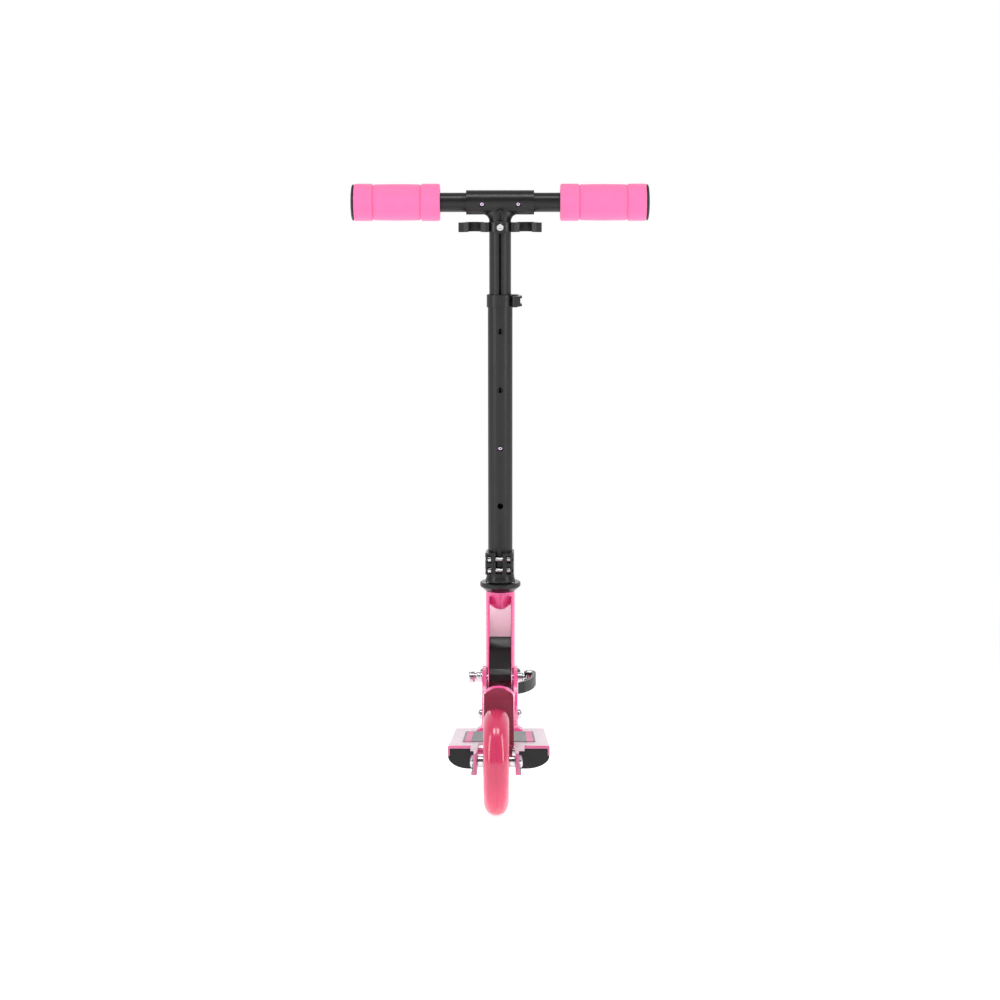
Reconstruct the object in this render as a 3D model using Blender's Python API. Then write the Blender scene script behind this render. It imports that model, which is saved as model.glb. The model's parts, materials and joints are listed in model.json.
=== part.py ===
"""A folding kick scooter for a child, as an assembly of separate pieces.

World frame: +X to the rider's right, +Y forwards, +Z up, ground at Z = 0, and the
origin on the ground midway between the axles. Lengths are written in millimetres and
scaled to metres when a shape is built.

Local frames: a turned shape runs along its local Z. COLUMN has its origin at the front
axle and its local Z up the leaning steering axis, so a height written for a piece on
the column is a distance along that axis. ACROSS lays a side outline of (y, z) points
out along X, and ALONG lays a front outline of (x, z) points out along Y.
"""

import math

import bmesh
import bpy
from mathutils import Matrix, Vector

MM = 0.001
GAP = 0.3  # left between touching pieces

# Driving dimensions
WHEELBASE = 560.0
WHEEL_RADIUS = 50.0
TYRE_WIDTH = 24.0
LEAN = math.radians(12.0)
REAR_SHIFT = -2.2  # the rear wheel, its axle and the deck ribs sit this far to the left
WHEEL_BOSS = 11.6  # half the width of a hub at its bearings
DECK_TOP = 63.4
DECK_WIDTH = 97.0
DECK_REAR = -255.6
DECK_FRONT = 64.0
RIB_REAR = -298.0
RIB_INNER = 18.1
RIB_OUTER = 21.1
RIB_BOTTOM = 38.5
PLATE_THICKNESS = 2.8
LIP_BOTTOM = 53.9
LIP_THICKNESS = 1.5
FOOT_WIDTH = 2.4
FOOT_THICKNESS = 2.0
CAP_BOTTOM = 41.5
TAPE = (-35.5, 35.5, -200.0, -23.0)

FOLD_PIVOT = (124.0, 76.0)  # y and z of the folding hinge
QR_RADIUS = 45.0  # from the folding hinge to the quick-release axle
QR_ANGLE = 65.7
FOLD_TRAVEL = 83.0
BRACKET_RADIUS = 54.0
BRACKET_OUTER = 19.45
BRACKET_INNER = 15.25
BRACKET_FOOT = 24.5
BRACKET_FLOOR = 3.0
BRACKET_BOLTS = (12.0, 45.0)  # their y
NECK_OUTER = 13.9
NECK_INNER = 12.5
WEB_TOP = ((231.9, 194.4), (214.1, 158.0), (150.0, 72.0))  # the web's rear face, (y, z)
WEB_UNDER = ((233.9, 193.4), (216.0, 156.9), (151.8, 70.7))

LEVER_TILT = 14.0  # the fold lever slopes down to the rear
LEVER_PIN_X = 33.3
LEVER_HALF = 6.4

HEAD_LOW = 78.0
HEAD_HIGH = 170.0
HEAD_RADIUS = 17.0
FORK_INNER = 12.9
FORK_OUTER = 16.5
CROWN = (58.5, 67.9)
STEERER_RADIUS = 12.6
CLAMP_LOW = 192.7
CLAMP_HIGH = 218.2
CLAMP_BOLTS = (197.4, 210.6)
CLAMP_TURN = math.radians(-4.0)  # the clamp's slit is not quite at the back
LOWER_RADIUS = 14.3
LOWER_BORE = 12.9
UPPER_RADIUS = 12.6
UPPER_BORE = 11.1
UPPER_LOW = 318.0
FLARE_LOW = 603.5  # where the upper column starts to widen under the T
FLARE_HIGH = 617.0
KEYWAY_HALF = 1.35
KEYWAY_HIGH = 613.0
COLLAR_LOW = 504.0
COLLAR_HIGH = 518.7
COLLAR_PIN = (17.2, -10.0)
COLLAR_BOLT_X = 17.6
HOLE_PITCH = 68.0
BUTTON_AT = 340.8
TEE_AT = 624.2
TEE_RADIUS = 14.0
TEE_BORE = 11.4
TEE_HALF = 39.0
BAR_RADIUS = 11.1
BAR_BORE = 9.6
BAR_INNER = 2.5
BAR_OUTER = 167.9
BAR_BUTTON_AT = 20.7
BAR_BUTTON_TILT = math.radians(8.0)
GRIP_INNER = 69.0
GRIP_OUTER = 167.9
GRIP_RADIUS = 21.3
CLIP_AT = 596.2
CLIP_HALF = 5.5
CLAW_AT = (29.3, -2.0)

FENDER_PIN = (-220.0, 56.0)
FENDER_HALF = 14.5
FENDER_THICKNESS = 2.0
FENDER_INNER = 59.5
FENDER_SPAN = (8.0, 106.0)
FENDER_RISE = 13.0  # how much further from the wheel its tip is
SPRING = (-4.0, 3.0)  # the ends of the coil along the pin
SPRING_WIRE = 0.9

PINK = (0.80, 0.10, 0.32)
BLACK = (0.02, 0.02, 0.02)
CHROME = (0.75, 0.75, 0.76)

ROUND = 24  # facets of a round piece


# Frames


def translation(x, y, z):
    return Matrix.Translation(Vector((x, y, z)) * MM)


def turn(angle, axis):
    return Matrix.Rotation(angle, 4, axis)


WORLD = Matrix.Identity(4)
COLUMN = translation(0, WHEELBASE / 2, WHEEL_RADIUS) @ turn(LEAN, "X")
ACROSS = Matrix(((0, 0, 1, 0), (1, 0, 0, 0), (0, 1, 0, 0), (0, 0, 0, 1)))
ALONG = turn(math.pi / 2, "X")
AXLE = turn(math.pi / 2, "Y")  # a turned shape's axis laid along X
FRONT_AXLE = translation(0, WHEELBASE / 2, WHEEL_RADIUS) @ AXLE
REAR_AXLE = translation(REAR_SHIFT, -WHEELBASE / 2, WHEEL_RADIUS) @ AXLE


def on_column(x, y, height):
    return COLUMN @ translation(x, y, height)


def across_at(point):
    """An X-directed turning axis through a (y, z) point."""
    return translation(0, *point) @ AXLE


def qr_point():
    angle = math.radians(QR_ANGLE)
    return (
        FOLD_PIVOT[0] + QR_RADIUS * math.cos(angle),
        FOLD_PIVOT[1] + QR_RADIUS * math.sin(angle),
    )


# Outlines


def arc(centre, radius, start, end, steps):
    """Points on an arc, with its angles in degrees."""
    points = []
    for i in range(steps + 1):
        angle = math.radians(start + (end - start) * i / steps)
        points.append(
            (centre[0] + radius * math.cos(angle), centre[1] + radius * math.sin(angle))
        )
    return points


def circle(centre, radius, steps=ROUND):
    return arc(centre, radius, 0, 360 * (steps - 1) / steps, steps - 1)


def rectangle(left, right, low, high):
    return [(left, low), (right, low), (right, high), (left, high)]


def rounded(left, right, low, high, radius, steps=4):
    corners = (
        ((right - radius, high - radius), 0),
        ((left + radius, high - radius), 90),
        ((left + radius, low + radius), 180),
        ((right - radius, low + radius), 270),
    )
    points = []
    for centre, start in corners:
        points += arc(centre, radius, start, start + 90, steps)
    return points


# Shapes, each a new bmesh


def turned(profile, steps=ROUND):
    """A closed profile of (radius, height) points turned about local Z."""
    bm = bmesh.new()
    rings = []
    for radius, height in profile:
        if radius == 0:
            rings.append([bm.verts.new((0, 0, height * MM))] * steps)
            continue
        ring = []
        for i in range(steps):
            angle = 2 * math.pi * i / steps
            x, y = radius * math.cos(angle), radius * math.sin(angle)
            ring.append(bm.verts.new(Vector((x, y, height)) * MM))
        rings.append(ring)
    for ring, following in zip(rings, rings[1:] + rings[:1]):
        for i in range(steps):
            j = (i + 1) % steps
            corners = [ring[i], ring[j], following[j], following[i]]
            distinct = list(dict.fromkeys(corners))
            if len(distinct) > 2:
                bm.faces.new(distinct)
    bmesh.ops.recalc_face_normals(bm, faces=bm.faces)
    return bm


def tube(outer, inner, low, high, steps=ROUND):
    return turned([(outer, low), (outer, high), (inner, high), (inner, low)], steps)


def rod(radius, low, high, steps=ROUND):
    return turned([(0, low), (radius, low), (radius, high), (0, high)], steps)


def prism(outline, low, high, holes=()):
    """A flat outline, with any holes, raised along local Z."""
    bm = bmesh.new()
    edges = []
    floors = []
    for loop in (outline, *holes):
        verts = [bm.verts.new(Vector((x, y, low)) * MM) for x, y in loop]
        edges += [bm.edges.new(pair) for pair in zip(verts, verts[1:] + verts[:1])]
        floors.append(verts)
    bmesh.ops.triangle_fill(bm, edges=edges, use_beauty=True)
    rise = Vector((0, 0, (high - low) * MM))
    above = {}
    for verts in floors:
        for vert in verts:
            above[vert] = bm.verts.new(vert.co + rise)
    for face in list(bm.faces):
        bm.faces.new([above[vert] for vert in face.verts])
    for verts in floors:
        for a, b in zip(verts, verts[1:] + verts[:1]):
            bm.faces.new((a, b, above[b], above[a]))
    bmesh.ops.recalc_face_normals(bm, faces=bm.faces)
    return bm


def box(left, right, rear, front, low, high):
    return prism(rectangle(left, right, rear, front), low, high)


def placed(bm, matrix):
    bmesh.ops.transform(bm, matrix=matrix, verts=bm.verts)
    return bm


def together(*parts):
    """Several shapes in one mesh, which must not touch each other."""
    whole = bmesh.new()
    for part in parts:
        mesh = bpy.data.meshes.new("part")
        part.to_mesh(mesh)
        part.free()
        whole.from_mesh(mesh)
        bpy.data.meshes.remove(mesh)
    return whole


# Objects

FINISHES = {}


def finish(name, colour, roughness, metallic=0.0):
    """A Principled material, made once for each name."""
    if name not in FINISHES:
        material = bpy.data.materials.new(name)
        material.use_nodes = True
        shader = material.node_tree.nodes["Principled BSDF"]
        shader.inputs["Base Color"].default_value = (*colour, 1)
        shader.inputs["Roughness"].default_value = roughness
        shader.inputs["Metallic"].default_value = metallic
        FINISHES[name] = material
    return FINISHES[name]


def pink_paint():
    return finish("pink_paint", PINK, 0.3)


def black_paint():
    return finish("black_paint", BLACK, 0.35)


def black_plastic():
    return finish("black_plastic", BLACK, 0.45)


def bright_metal():
    return finish("bright_metal", CHROME, 0.15, 1.0)


def mesh_of(name, bm):
    mesh = bpy.data.meshes.new(name)
    bm.to_mesh(mesh)
    bm.free()
    mesh.shade_smooth()
    mesh.set_sharp_from_angle(angle=math.radians(35))
    return mesh


def add(name, bm, matrix, material, parent=None):
    """A named piece, at a world matrix and under an empty."""
    obj = bpy.data.objects.new(name, mesh_of(name, bm))
    obj.data.materials.append(material)
    bpy.context.scene.collection.objects.link(obj)
    if parent is None:
        obj.matrix_world = matrix
    else:
        obj.parent = parent
        obj.matrix_basis = parent.matrix_basis.inverted() @ matrix
    return obj


def empty(name, matrix):
    obj = bpy.data.objects.new(name, None)
    bpy.context.scene.collection.objects.link(obj)
    obj.matrix_basis = matrix
    return obj


def carve(obj, bm, matrix, operation="DIFFERENCE"):
    """A Boolean on obj by a hidden helper shape."""
    helper = bpy.data.objects.new(obj.name + "_helper", mesh_of("helper", bm))
    helper.hide_render = True
    helper.display_type = "WIRE"
    helper.matrix_world = matrix
    bpy.context.scene.collection.objects.link(helper)
    boolean = obj.modifiers.new(operation.lower(), "BOOLEAN")
    boolean.operation = operation
    boolean.object = helper
    boolean.solver = "EXACT"
    return obj


# Wheels


def mirrored(half):
    """A turned profile of (radius, side) points, closed by its mirror image."""
    return half + [(radius, -side) for radius, side in reversed(half) if side != 0]


def tyre_shape():
    half = TYRE_WIDTH / 2
    tread = [(34.3, half - 0.6), (36.5, half), (39.5, half - 0.2), (42.0, half - 0.9)]
    tread += [(44.3, 10.1), (46.3, 8.8), (47.9, 7.1), (49.1, 5.0), (49.8, 2.5)]
    tread += [(WHEEL_RADIUS, 0)]
    return turned(mirrored(tread), 36)


def hub_shape():
    rim = [(30.5, 9.8), (34.0, 9.8)]
    boss = [(13.8, WHEEL_BOSS), (11.2, WHEEL_BOSS), (11.2, 4.4), (9.0, 4.4)]
    half = list(reversed(boss)) + [(15.0, 3.2), (28.5, 3.2)] + rim
    return turned(mirrored(half), 28)


def hub_windows():
    windows = []
    for i in range(5):
        spoke = turn(2 * math.pi * i / 5, "Z")
        windows.append(placed(rod(6.0, -8, 8, 12), spoke @ translation(22, 0, 0)))
    return together(*windows)


def wheel(prefix, matrix, parent):
    tyre = finish("pink_tyre", (0.85, 0.12, 0.35), 0.2)
    add(prefix + "_tyre", tyre_shape(), matrix, tyre, parent)
    hub = add(prefix + "_hub", hub_shape(), matrix, black_plastic(), parent)
    carve(hub, hub_windows(), matrix)
    for side, sign in (("left", -1), ("right", 1)):
        low, high = sorted((sign * 4.7, sign * WHEEL_BOSS))
        ring = tube(10.9, 4.0, low, high, 20)
        add(f"{prefix}_bearing_{side}", ring, matrix, bright_metal(), parent)


# Deck


def deck_section():
    """The deck's extruded section, as (x, z) points."""
    half = DECK_WIDTH / 2
    under = DECK_TOP - PLATE_THICKNESS
    foot = RIB_BOTTOM + FOOT_THICKNESS
    right = [(half - 1, DECK_TOP), (half, DECK_TOP - 1), (half, LIP_BOTTOM)]
    right += [(half - LIP_THICKNESS, LIP_BOTTOM), (half - LIP_THICKNESS, under)]
    right += rib_section(1, under, foot)
    left = rib_section(-1, under, foot)
    left += [(-half + LIP_THICKNESS, under), (-half + LIP_THICKNESS, LIP_BOTTOM)]
    left += [(-half, LIP_BOTTOM), (-half, DECK_TOP - 1), (-half + 1, DECK_TOP)]
    return right + left


def rib_section(side, under, foot):
    """One rib under the plate, with its outward foot, from the right to the left."""
    outer = REAR_SHIFT + side * RIB_OUTER
    inner = REAR_SHIFT + side * RIB_INNER
    toe = outer + side * FOOT_WIDTH
    rib = [(outer, under), (outer, foot), (toe, foot), (toe, RIB_BOTTOM)]
    rib += [(inner, RIB_BOTTOM), (inner, under)]
    return rib if side > 0 else list(reversed(rib))


def deck_extrusion():
    body = prism(deck_section(), -DECK_FRONT, -RIB_REAR)
    paint = finish("pink_deck", (0.85, 0.55, 0.70), 0.25, 0.3)
    deck = add("deck_extrusion", body, ALONG, paint)
    corners = together(
        box(24.2, 70, RIB_REAR - 9, DECK_REAR, 30, 70),
        box(-70, -26.4, RIB_REAR - 9, DECK_REAR, 30, 70),
    )
    carve(deck, corners, WORLD)
    edge = RIB_INNER - 1
    slot = rounded(REAR_SHIFT - edge, REAR_SHIFT + edge, RIB_REAR - 30, -208, 6)
    carve(deck, prism(slot, 55, 70), WORLD)
    heel = [(RIB_REAR - 5, 66), (RIB_REAR - 5, 55), (RIB_REAR + 10, 66)]
    carve(deck, prism(heel, -40, 40), ACROSS)
    axle = placed(rod(4.3, -40, 40, 16), across_at((-WHEELBASE / 2, WHEEL_RADIUS)))
    pin = placed(rod(3.3, -40, 40, 16), across_at(FENDER_PIN))
    bolts = [placed(rod(3.4, 50, 70, 16), translation(0, y, 0)) for y in BRACKET_BOLTS]
    return carve(deck, together(axle, pin, *bolts), WORLD)


def grip_tape():
    left, right, rear, front = TAPE
    base = DECK_TOP + GAP
    sheet = prism(rounded(left, right, rear, front, 5), base, base + 1)
    add("grip_tape", sheet, WORLD, finish("grip_tape", (0.28, 0.28, 0.28), 0.95))


def end_cap_outline(inner, flat):
    """Half of the deck's end, as (x, z) points, with a rounded lower edge."""
    top = DECK_TOP - PLATE_THICKNESS - GAP
    lip = LIP_BOTTOM - GAP
    outer = DECK_WIDTH / 2 - 0.2
    inside = DECK_WIDTH / 2 - LIP_THICKNESS - GAP
    points = [(inner, top), (inside, top), (inside, lip), (outer, lip)]
    for i in range(1, 10):
        angle = math.pi / 2 * i / 9
        x = flat + (outer - flat) * math.cos(angle)
        points.append((x, lip - (lip - CAP_BOTTOM) * math.sin(angle)))
    return points + [(inner, CAP_BOTTOM)]


def end_caps():
    right = end_cap_outline(REAR_SHIFT + RIB_OUTER + GAP, 26)
    left = end_cap_outline(-REAR_SHIFT + RIB_OUTER + GAP, 28)
    left = [(-x, z) for x, z in left]
    for side, outline in (("left", left), ("right", right)):
        body = prism(outline, -DECK_REAR - 12.5, -DECK_REAR - 0.5)
        add("rear_end_cap_" + side, body, ALONG, black_plastic())


# Folding bracket


def bracket_section():
    """The bracket's hat section, as (x, z) points: feet, fillets, plates and floor."""
    base = DECK_TOP + GAP
    outer, inner, high = BRACKET_OUTER, BRACKET_INNER, 140
    right = [(BRACKET_FOOT, base), (BRACKET_FOOT, base + 1.2), (22.0, base + 2.1)]
    right += [(20.3, base + 4.1), (outer, base + 7.1), (outer, high), (inner, high)]
    right += [(inner, base + BRACKET_FLOOR)]
    return right + [(-x, z) for x, z in reversed(right)]


def bracket_side():
    """The bracket seen from its side, as (y, z) points."""
    crown = arc(FOLD_PIVOT, BRACKET_RADIUS, 45, 165, 14)
    rear = [(52, 82), (8, 67.2), (-5.5, 67), (-5.5, 60)]
    return crown + rear + [(150, 60), (152, 75)]


def fold_slot():
    """The curved slot that the quick-release axle slides along as the neck folds."""
    half = 3.5
    start, end = QR_ANGLE - 0.5, QR_ANGLE + FOLD_TRAVEL + 1
    outer = arc(FOLD_PIVOT, QR_RADIUS + half, start, end, 14)
    inner = arc(FOLD_PIVOT, QR_RADIUS - half, end, start, 14)
    far = arc(FOLD_PIVOT, QR_RADIUS, end, end, 1)[0]
    near = arc(FOLD_PIVOT, QR_RADIUS, start, start, 1)[0]
    far_end = arc(far, half, end + 30, end + 150, 4)
    near_end = arc(near, half, start + 210, start + 330, 4)
    return outer + far_end + inner + near_end


def fold_bracket():
    body = prism(bracket_section(), -170, 10)
    bracket = add("fold_bracket", body, ALONG, pink_paint())
    carve(bracket, prism(bracket_side(), -40, 40), ACROSS, "INTERSECT")
    foot = 19.6
    feet = together(box(foot, 30, 60, 180, 55, 71), box(-30, -foot, 60, 180, 55, 71))
    carve(bracket, feet, WORLD)
    carve(bracket, prism(fold_slot(), -40, 40), ACROSS)
    pivot = placed(rod(4.3, -40, 40), across_at(FOLD_PIVOT))
    bolts = [placed(rod(3.4, 50, 75, 16), translation(0, y, 0)) for y in BRACKET_BOLTS]
    return carve(bracket, together(pivot, *bolts), WORLD)


def bracket_bolts():
    """Two bolts through the bracket's floor and the deck, each with its nut."""
    head = DECK_TOP + GAP + BRACKET_FLOOR + GAP
    under = DECK_TOP - PLATE_THICKNESS - GAP
    profile = [(0, under - 4.8), (5, under - 4.8), (5, under), (3, under), (3, head)]
    profile += [(5.5, head), (5.5, head + 2), (3.6, head + 3.5), (0, head + 3.5)]
    for name, y in zip(("rear", "front"), BRACKET_BOLTS):
        place = translation(0, y, 0)
        add("bracket_bolt_" + name, turned(profile, 14), place, bright_metal())


def bolt(shank, tip, seat, head, height):
    """A bolt lying along X with its domed head on the left."""
    dome = [(head, -seat), (head, -seat - height * 0.5)]
    dome += [(head * 0.75, -seat - height * 0.85), (head * 0.35, -seat - height)]
    return [(0, tip), (shank, tip), (shank, -seat)] + dome + [(0, -seat - height)]


def dome_nut(bore, depth, seat, head, height):
    """A nut with a blind bore, closed by a dome on the right."""
    dome = [(head * 0.35, seat + height), (head * 0.75, seat + height * 0.85)]
    dome += [(head, seat + height * 0.5), (head, seat)]
    return [(bore, seat), (bore, seat + depth), (0, seat + depth), (0, seat + height)] + dome


def pivot():
    place = across_at(FOLD_PIVOT)
    seat = BRACKET_OUTER + GAP
    add("pivot_bolt", turned(bolt(4.0, 21.5, seat, 5.85, 4.75)), place, bright_metal())
    nut = dome_nut(4.3, 2.15, seat, 5.85, 4.75)
    add("pivot_nut", turned(nut), place, bright_metal())


def axle(prefix, seat, matrix, parent=None):
    """An axle bolt and its nut against outer faces at a distance from the middle."""
    shape = bolt(3.7, seat + 2.2, seat, 5.95, 3.4)
    add(prefix + "_axle", turned(shape), matrix, bright_metal(), parent)
    nut = dome_nut(4.0, 2.6, seat, 5.95, 3.6)
    add(prefix + "_axle_nut", turned(nut), matrix, bright_metal(), parent)


def rear_spacers():
    for side, sign in (("left", -1), ("right", 1)):
        low, high = sorted((sign * (WHEEL_BOSS + GAP), sign * (RIB_INNER - GAP)))
        ring = tube(5.7, 4.0, low, high)
        add("rear_spacer_" + side, ring, REAR_AXLE, bright_metal())


# Rear brake


def fender_pin():
    length = RIB_OUTER - GAP
    pin = rod(3.0, REAR_SHIFT - length, REAR_SHIFT + length, 16)
    add("fender_pin", pin, across_at(FENDER_PIN), bright_metal())


def spring_route():
    """Two and three quarter turns round the pin, with one leg forwards, one down."""
    radius, start, end, points = 4.6, -90, -1080, 33
    route = [(SPRING[0], 11, -radius)]
    for i in range(points + 1):
        share = i / points
        angle = math.radians(start + (end - start) * share)
        along = SPRING[0] + (SPRING[1] - SPRING[0]) * share
        route.append((along, radius * math.cos(angle), radius * math.sin(angle)))
    return route + [(SPRING[1], radius, -10)]


def fender_spring():
    curve = bpy.data.curves.new("fender_spring", "CURVE")
    curve.dimensions = "3D"
    curve.bevel_depth = SPRING_WIRE * MM
    curve.bevel_resolution = 1
    curve.use_fill_caps = True
    route = spring_route()
    spline = curve.splines.new("POLY")
    spline.points.add(len(route) - 1)
    for point, place in zip(spline.points, route):
        point.co = (*(Vector(place) * MM), 1)
    curve.materials.append(bright_metal())
    obj = bpy.data.objects.new("fender_spring", curve)
    obj.matrix_world = translation(0, *FENDER_PIN)
    bpy.context.scene.collection.objects.link(obj)


def fender_path(share):
    """Radius about the rear axle and angle from straight ahead, from hinge to tip."""
    angle = FENDER_SPAN[0] + (FENDER_SPAN[1] - FENDER_SPAN[0]) * share
    rise = max(0.0, (angle - 40) / 66)
    middle = FENDER_INNER + FENDER_THICKNESS / 2
    return middle + FENDER_RISE * rise * rise, math.radians(angle)


def fender_row(share, columns):
    """One line of points across the brake's sheet, arched more towards the tip."""
    radius, angle = fender_path(share)
    near_tip = max(0.0, (share - 0.82) / 0.18)
    half = FENDER_HALF * math.sqrt(1 - 0.75 * near_tip * near_tip)
    arch = 9 * share * share * (half / FENDER_HALF) ** 2
    row = []
    for j in range(columns + 1):
        across = 2 * j / columns - 1
        drop = radius - arch * (1 - math.sqrt(1 - 0.96 * across * across))
        y = -WHEELBASE / 2 + drop * math.cos(angle)
        z = WHEEL_RADIUS + drop * math.sin(angle)
        row.append(Vector((half * across, y, z)) * MM)
    return row


def fender_sheet():
    rows, columns = 16, 10
    bm = bmesh.new()
    grid = []
    for i in range(rows + 1):
        grid.append([bm.verts.new(point) for point in fender_row(i / rows, columns)])
    for row, following in zip(grid, grid[1:]):
        for j in range(columns):
            bm.faces.new((row[j], row[j + 1], following[j + 1], following[j]))
    bmesh.ops.recalc_face_normals(bm, faces=bm.faces)
    return bm


def rear_fender(parent):
    fender = add("rear_fender", fender_sheet(), WORLD, pink_paint(), parent)
    shell = fender.modifiers.new("sheet", "SOLIDIFY")
    shell.thickness = FENDER_THICKNESS * MM
    shell.offset = 0
    place = across_at(FENDER_PIN)
    for low, high in ((-13, -7), (7, 13)):
        carve(fender, rod(6.5, low, high, 20), place, "UNION")
    space = mirrored([(0, 30), (3.3, 30), (3.3, 6.2), (7.2, 6.2)])
    between_facets = turn(math.radians(6), "Z")  # no edges shared with the lugs
    return carve(fender, turned(space, 20), place @ between_facets)


# Neck


def neck_side():
    """The neck's side plates seen from the side, as (y, z) points."""
    rear = [(246.4, 208), (229, 209), (134, 124), (123, 104)]
    foot = arc(FOLD_PIVOT, 8.7, 170, 300, 8)
    return rear + foot + [(151, 70.5), (262.1, 134)]


def beyond(a, b, distance):
    """The point past b on the line from a."""
    length = math.dist(a, b)
    return tuple(q + (q - p) * distance / length for p, q in zip(a, b))


def neck_channel(parent):
    body = prism(neck_side(), -NECK_OUTER, NECK_OUTER)
    neck = add("neck_channel", body, ACROSS, pink_paint(), parent)
    top, middle, low = WEB_TOP
    above = [beyond(middle, top, 14), middle, beyond(middle, low, 14)]
    above += [(100, 55), (95, 130), (190, 225), (250, 225)]
    top, middle, low = WEB_UNDER
    below = [beyond(middle, top, 14), middle, beyond(middle, low, 14)]
    below += [(200, 40), (300, 100), (280, 220)]
    for hollow in (above, below):
        carve(neck, prism(hollow, -NECK_INNER, NECK_INNER), ACROSS)
    carve(neck, rod(HEAD_RADIUS + GAP, 40, 240, 36), COLUMN)
    hinge = placed(rod(4.35, -40, 40), across_at(FOLD_PIVOT))
    release = placed(rod(3.4, -40, 40, 16), across_at(qr_point()))
    return carve(neck, together(hinge, release), WORLD)


def channel_block(parent):
    """The moulded block inside the neck that the quick-release axle passes through."""
    side = [(214.5, 161.5), (190, 162.3), (186, 158), (183, 150), (170, 144.5)]
    side += [(163, 139.5), (140, 126), (137, 120), (137, 112.2), (176, 112.2)]
    half = NECK_INNER - GAP
    body = prism(side, -half, half)
    block = add("channel_block", body, ACROSS, black_plastic(), parent)
    return carve(block, rod(3.3, -40, 40, 16), across_at(qr_point()))


def headset_cup():
    """Half a headset, as (radius, height) from the head tube's end outwards."""
    outer = [(13.2, 0.3), (17.2, 0.3), (19.5, 1.9), (22.3, 4.2), (23.8, 5.2)]
    return outer + [(23.8, 9.0), (22.5, 9.8), (17.1, 9.8), (17.1, 3.2), (13.2, 3.2)]


def headset(parent):
    shape = tube(HEAD_RADIUS, 14.5, HEAD_LOW, HEAD_HIGH, 36)
    add("head_tube", shape, COLUMN, pink_paint(), parent)
    ends = (("upper", HEAD_HIGH, 1, 1.1), ("lower", HEAD_LOW, -1, 1))
    for name, end, way, stretch in ends:
        cup = [(radius, end + way * height * stretch) for radius, height in headset_cup()]
        add("headset_cup_" + name, turned(cup, 32), COLUMN, black_paint(), parent)
        low, high = sorted((end + way * 3.8, end + way * 9.4))
        ring = tube(16.8, 12.9, low, high)
        add("headset_bearing_" + name, ring, COLUMN, bright_metal(), parent)


def quick_release(parent):
    place = across_at(qr_point())
    seat = BRACKET_OUTER + GAP
    add("qr_axle", rod(3.0, -31, 29.9, 16), place, bright_metal(), parent)
    nut = [(3.3, -seat), (6.1, -seat), (6.35, -seat - 0.6), (6.35, -seat - 2.4)]
    nut += [(5.9, -seat - 2.6), (5.9, -26.2), (5.2, -26.4), (5.2, -28.8), (6.35, -29.1)]
    nut += [(6.35, -34.4), (5.5, -35.2), (0, -35.2), (0, -31.5), (3.3, -31.5)]
    add("qr_nut", turned(nut), place, bright_metal(), parent)
    follower = [(3.3, seat), (5.2, seat), (5.2, 25.2), (4.6, 26.0), (3.3, 26.0)]
    add("qr_follower", turned(follower), place, bright_metal(), parent)
    pin = rod(3.0, -6.6, 6.6, 16)
    add("qr_cam_pin", pin, lever_frame(), bright_metal(), parent)


def lever_frame():
    """On the cam pin: local Y runs down the closed lever and local Z along the pin."""
    return translation(LEVER_PIN_X, *qr_point()) @ turn(math.radians(180 + LEVER_TILT), "X")


def fold_lever(parent):
    """The cam and its curved arm, which lies beside the bracket when it is closed."""
    outer = [(7.2, 1), (7.0, 12), (4.5, 24), (0, 34), (-6, 42), (-13.2, 47.5)]
    inner = [(-13.2, 44.5), (-8, 39.5), (-3.5, 32.5), (0.5, 23), (2.5, 12), (3, 5.5)]
    cam = arc((0, 0), 6.3, 65, 355, 16)
    body = prism(outer + inner + cam, -LEVER_HALF, LEVER_HALF)
    lever = add("fold_lever", body, lever_frame(), black_plastic(), parent)
    carve(lever, rod(3.3, -20, 20, 16), lever_frame())
    return carve(lever, rod(8.5, -3.7, 3.7, 24), lever_frame())


# Steering


def fork_front():
    """The fork seen from the front, as (x, height) points."""
    low, high = CROWN
    corner = 5
    outline = [(FORK_OUTER, -12), (FORK_OUTER, high - corner)]
    outline += arc((FORK_OUTER - corner, high - corner), corner, 18, 90, 4)
    outline += arc((corner - FORK_OUTER, high - corner), corner, 90, 162, 4)
    outline += [(-FORK_OUTER, high - corner), (-FORK_OUTER, -12), (-FORK_INNER, -12)]
    return outline + [(-FORK_INNER, low), (FORK_INNER, low), (FORK_INNER, -12)]


def fork(parent):
    body = prism(fork_front(), -18, 18)
    piece = add("fork", body, COLUMN @ ALONG, black_paint(), parent)
    side = arc((0, 0), 9.5, 180, 360, 10) + [(10, 22), (11, 50), (13, 60), (13, 75)]
    side += [(-13, 75), (-13, 60), (-11, 50), (-10, 22)]
    carve(piece, prism(side, -30, 30), COLUMN @ ACROSS, "INTERSECT")
    carve(piece, rod(STEERER_RADIUS, 61, 233, 32), COLUMN, "UNION")
    carve(piece, rod(10.6, 64, 240, 28), COLUMN)
    return carve(piece, rod(4.1, -40, 40, 16), FRONT_AXLE)


def headset_nut(parent):
    base = HEAD_HIGH + 11.4
    profile = [(12.9, base), (17.3, base), (17.3, base + 2.6), (16.4, base + 5.1)]
    profile += [(16.0, CLAMP_LOW - GAP), (12.9, CLAMP_LOW - GAP)]
    add("headset_nut", turned(profile, 28), COLUMN, black_paint(), parent)


def clamp_outline():
    """The clamp's split ring with its two rear lugs, as (x, y) points."""
    bore, outer, slit, rear = 14.6, 16.25, 4.1, -22.0
    edge = math.degrees(math.acos(slit / bore))
    outline = [(slit, rear), (outer - 2, rear), (outer, rear + 2)]
    outline += arc((0, 0), outer, 0, 180, 14)
    outline += [(-outer, rear + 2), (-outer + 2, rear), (-slit, rear)]
    return outline + arc((0, 0), bore, 180 + edge, -edge, 22)


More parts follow.
